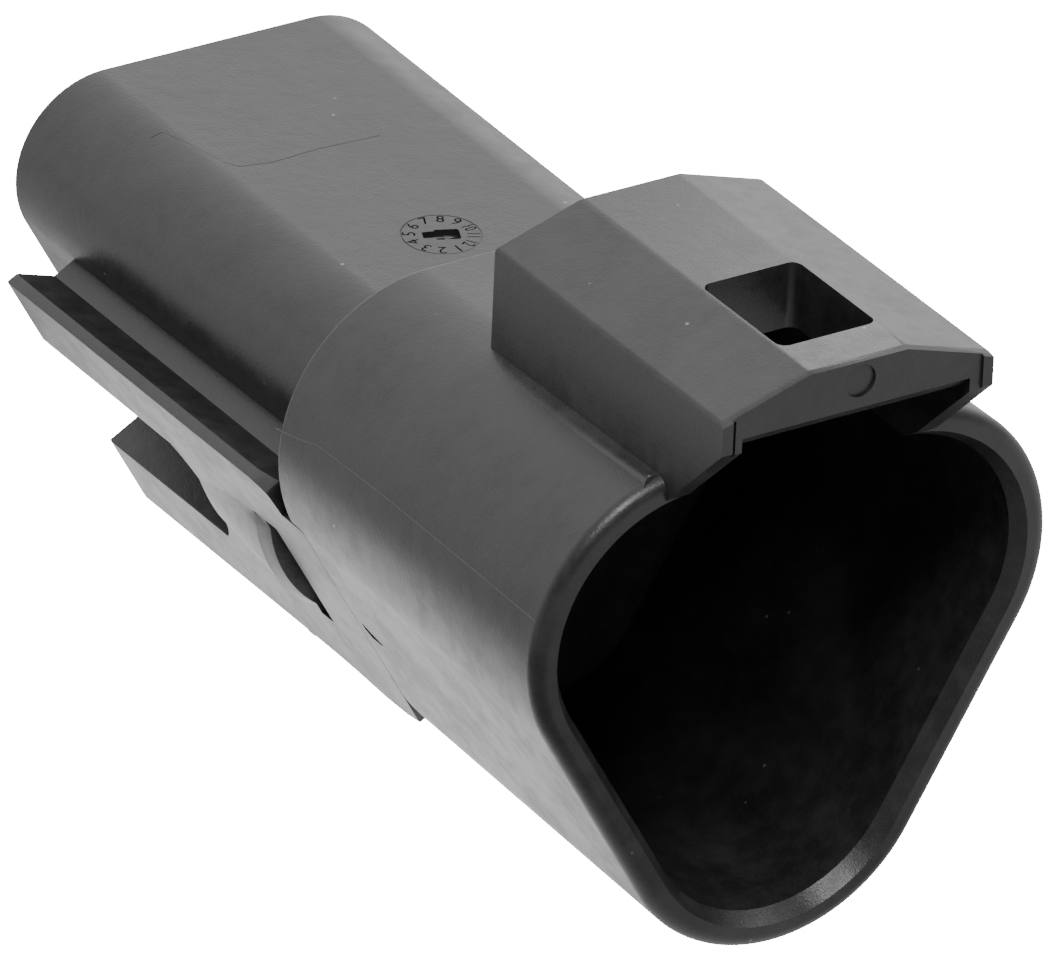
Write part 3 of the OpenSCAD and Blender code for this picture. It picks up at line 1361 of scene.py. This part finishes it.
@dataclass
class Housing:
    """The one-piece moulded housing."""

    shroud: Shroud = field(default_factory=Shroud)
    shell: RearShell = field(default_factory=RearShell)
    bridge: LatchBridge = field(default_factory=LatchBridge)
    rails: ClipRails = field(default_factory=ClipRails)
    cavities: Cavities = field(default_factory=Cavities)
    dial: MonthDial = field(default_factory=MonthDial)

    def build(self, plastic: bpy.types.Material) -> Obj:
        """Builds the housing and dresses it.

        Args:
            plastic: The housing's material.

        Returns:
            The finished piece.
        """
        body = self.shroud.outside()
        corner = (corner_place(self.shroud.reach, CORNER_ANGLES[0])[0], self.shroud.reach / 2)
        fall = self.shroud.draft * self.bridge.back / self.shroud.length
        ledges = self.bridge.foot_ledges(corner, self.shroud.radius, fall)
        for part in (self.shell.outside(), self.bridge.outside(), *ledges, self.rails.build()):
            Bench.combine(body, part, Cut.ADD)
        for tool in (
            self.shroud.mouth(),
            self.bridge.tunnel(),
            self.bridge.window(),
            self.bridge.ejector_mark(),
            self.rails.lock_pocket(),
            self.rails.slit(),
            self.shell.knit_line(),
            *self.dial.tools(self.shell.top_height(self.dial.centre[1])),
        ):
            Bench.combine(body, tool, Cut.REMOVE)
        for part in (self.shroud.island(), *self.shroud.parting_lines()):
            Bench.combine(body, part, Cut.ADD)
        for tool in self.cavities.tools(self.shroud.island_face, self.shell.pocket):
            Bench.combine(body, tool, Cut.REMOVE)
        Bench.combine(body, self.shell.seal_pocket(), Cut.REMOVE)
        Bench.finish(body, plastic, "connector_housing", "root", "housing", "housing_plastic")
        return body


@dataclass
class WireSeal:
    """The ribbed silicone block in the rear pocket."""

    shell: RearShell
    gap: float = 0.35
    inset: float = 1.0
    hole: float = 1.1
    hole_reach: float = 5.0
    edge: float = 0.15
    back_edge: float = 0.2
    ribs: tuple[float, ...] = (1.6, 4.6, 7.6)
    rib_half: float = 0.45
    rib_gap: float = 0.01
    rib_steps: int = 6

    def build(self, silicone: bpy.types.Material) -> Obj:
        """Builds the seal and dresses it.

        Args:
            silicone: The seal's material.

        Returns:
            The finished piece.
        """
        wall = self.shell.radius - self.shell.wall
        inner = wall - self.gap
        back = self.shell.end - self.inset
        start = self.shell.pocket
        rings: list[Ring] = [(start, inner - self.edge), (start + self.edge, inner)]
        for rib in self.ribs:
            middle = start + rib + self.rib_half
            for step in range(self.rib_steps + 1):
                angle = math.pi * step / self.rib_steps
                rise = (self.gap - self.rib_gap) * math.sin(angle)
                rings.append((middle - self.rib_half * math.cos(angle), inner + rise))
        rings += [(back - self.back_edge, inner), (back, inner - self.back_edge)]
        body = Bench.rounded_triangle("seal", rings, self.shell.reach, self.shell.lift)
        for angle in CORNER_ANGLES:
            x, z = corner_place(self.hole_reach, angle)
            hole = Bench.rod("wire_hole", (x, (start + back) / 2, z), self.hole, back - start + 2.0)
            Bench.combine(body, hole, Cut.REMOVE)
        Bench.finish(body, silicone, "rear_wire_seal", "root", "wire_seal", "seal_silicone")
        return body


@dataclass
class Studio:
    """Camera, floor and soft light."""

    sensor: float = 36.0
    clip: Point2 = (0.05, 10.0)
    lens_px: float = 17990.17
    frame_px: float = 1055.0
    azimuth: float = -33.4822
    elevation: float = 28.5482
    roll: float = 2.5249
    target: Point3 = (-13.8276, 0.0, 12.4732)
    distance: float = 763.79
    backdrop: float = 20.0
    glow_middle: Point3 = (-0.004, 0.030, 0.0)
    near_glow: float = 2.2
    near_reach: Point2 = (0.016, 0.042)
    shade_middle: Point3 = (-0.045, -0.005, 0.0)
    shade_glow: float = 0.0
    far_glow: float = 0.75
    far_reach: Point2 = (0.034, 0.080)
    floor_gap: float = 0.0002
    floor_colour: tuple[float, float, float, float] = (0.14, 0.14, 0.14, 1.0)
    floor_rough: float = 0.9
    lamps: tuple[tuple[str, Point3, float, float], ...] = (
        ("overhead_right", (0.38, 0.0, 0.45), 0.30, 1.1),
        ("roof_front", (0.030, 0.032, 0.046), 0.02, 0.0052),
        ("overhead_left", (-0.14, -0.23, 0.52), 0.20, 2.6),
    )
    glows: tuple[tuple[Point3, float, float, float, float], ...] = (
        ((0.10, 1.0, 0.0), -0.3, 0.5, 0.30, 1.40),
        ((0.67, 0.73, 0.12), 0.86, 1.0, 0.0, 1.0),
        ((0.10, 0.70, 0.70), 0.70, 1.0, 0.0, 0.25),
    )

    def camera(self) -> Obj:
        """Makes the camera at the photograph's angle.

        Returns:
            The camera.
        """
        azimuth, elevation = math.radians(self.azimuth), math.radians(self.elevation)
        back = Vector(
            (
                math.sin(azimuth) * math.cos(elevation),
                -math.cos(azimuth) * math.cos(elevation),
                math.sin(elevation),
            )
        )
        right = Vector((math.cos(azimuth), math.sin(azimuth), 0.0))
        up = back.cross(right).normalized()
        turn = math.radians(self.roll)
        side = right * math.cos(turn) + up * math.sin(turn)
        top = up * math.cos(turn) - right * math.sin(turn)
        data = bpy.data.cameras.new("photo_camera")
        data.sensor_width = self.sensor
        data.lens = self.lens_px / self.frame_px * data.sensor_width
        data.clip_start, data.clip_end = self.clip
        camera = bpy.data.objects.new("photo_camera", data)
        bpy.context.scene.collection.objects.link(camera)
        axes = Matrix((side, top, back)).transposed().to_4x4()
        axes.translation = (Vector(self.target) + back * self.distance) * MM
        camera.matrix_world = axes
        bpy.context.scene.camera = camera
        return camera

    def floor(self, height: float) -> Obj:
        """Makes the pale floor, plain white to the camera, with painted light that lights the part: a strong glow
        pool under its rear and a painted shade patch to its left and front, with a soft glow beyond.

        Args:
            height: The floor's height in metres.

        Returns:
            The floor.
        """
        Bench.deselect()
        bpy.ops.mesh.primitive_plane_add(size=3.0, location=(0.0, 0.0, height))
        floor = bpy.context.object
        floor.name = "floor"
        paint, nodes, shader = blank_material("floor_white")
        shader.inputs["Base Color"].default_value = self.floor_colour
        shader.inputs["Roughness"].default_value = self.floor_rough
        shader.inputs["Emission Color"].default_value = WHITE
        place = nodes.add("ShaderNodeTexCoord").outputs["Object"]
        # Painted light: a glow pool round glow_middle, under the part's rear, and painted shade round shade_middle,
        # to its left and front, that fades to a soft glow far from it.
        near = nodes.measure("DISTANCE", place, self.glow_middle)
        shade = nodes.measure("DISTANCE", place, self.shade_middle)
        glow = nodes.tally(
            "MAXIMUM",
            nodes.spread(near, *self.near_reach, self.near_glow, 0.0),
            nodes.spread(shade, *self.far_reach, self.shade_glow, self.far_glow),
        )
        nodes.link(nodes.shown(glow, self.backdrop), shader.inputs["Emission Strength"])
        floor.data.materials.append(paint)
        floor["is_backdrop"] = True
        return floor

    @staticmethod
    def light(name: str, place: Point3, size: float, power: float) -> Obj:
        """Makes a soft square light that looks at the part.

        Args:
            name: The light's name.
            place: Its place in metres.
            size: Its side in metres.
            power: Its power in watts.

        Returns:
            The light.
        """
        data = bpy.data.lights.new(name, "AREA")
        data.shape = "SQUARE"
        data.size = size
        data.energy = power
        lamp = bpy.data.objects.new(name, data)
        lamp.location = place
        lamp.rotation_mode = "QUATERNION"
        lamp.rotation_quaternion = (-Vector(place)).to_track_quat("-Z", "Y")
        bpy.context.scene.collection.objects.link(lamp)
        return lamp

    def build(self, low: float) -> None:
        """Sets up camera, floor, world and lights.

        Args:
            low: The part's lowest point in metres.
        """
        self.camera()
        self.floor(low - self.floor_gap)
        self.sky()
        for lamp in self.lamps:
            self.light(*lamp)

    def sky(self) -> None:
        """Sets up the soft light round the part: bright behind it and dim before it."""
        world = bpy.data.worlds.new("studio")
        world.use_nodes = True
        nodes = Nodes(world.node_tree)
        way = nodes.add("ShaderNodeTexCoord").outputs["Generated"]
        parts = []
        for toward, low, high, dim, bright in self.glows:
            share = nodes.measure("DOT_PRODUCT", way, Vector(toward).normalized())
            parts.append(nodes.spread(share, low, high, dim, bright))
        sky = world.node_tree.nodes["Background"]
        sky.inputs["Color"].default_value = WHITE
        nodes.link(nodes.shown(nodes.tally("ADD", *parts), self.backdrop), sky.inputs["Strength"])
        bpy.context.scene.world = world


def main() -> None:
    logging.basicConfig(level=logging.INFO, format="%(name)s: %(message)s")
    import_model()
    cad_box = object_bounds()
    bpy.ops.object.select_all(action="DESELECT")
    housing = Housing()
    housing.build(MouldedPlastic().build())
    WireSeal(shell=housing.shell).build(Silicone().build())
    Studio().build(cad_box[0].z)


if __name__ == "__main__":
    main()
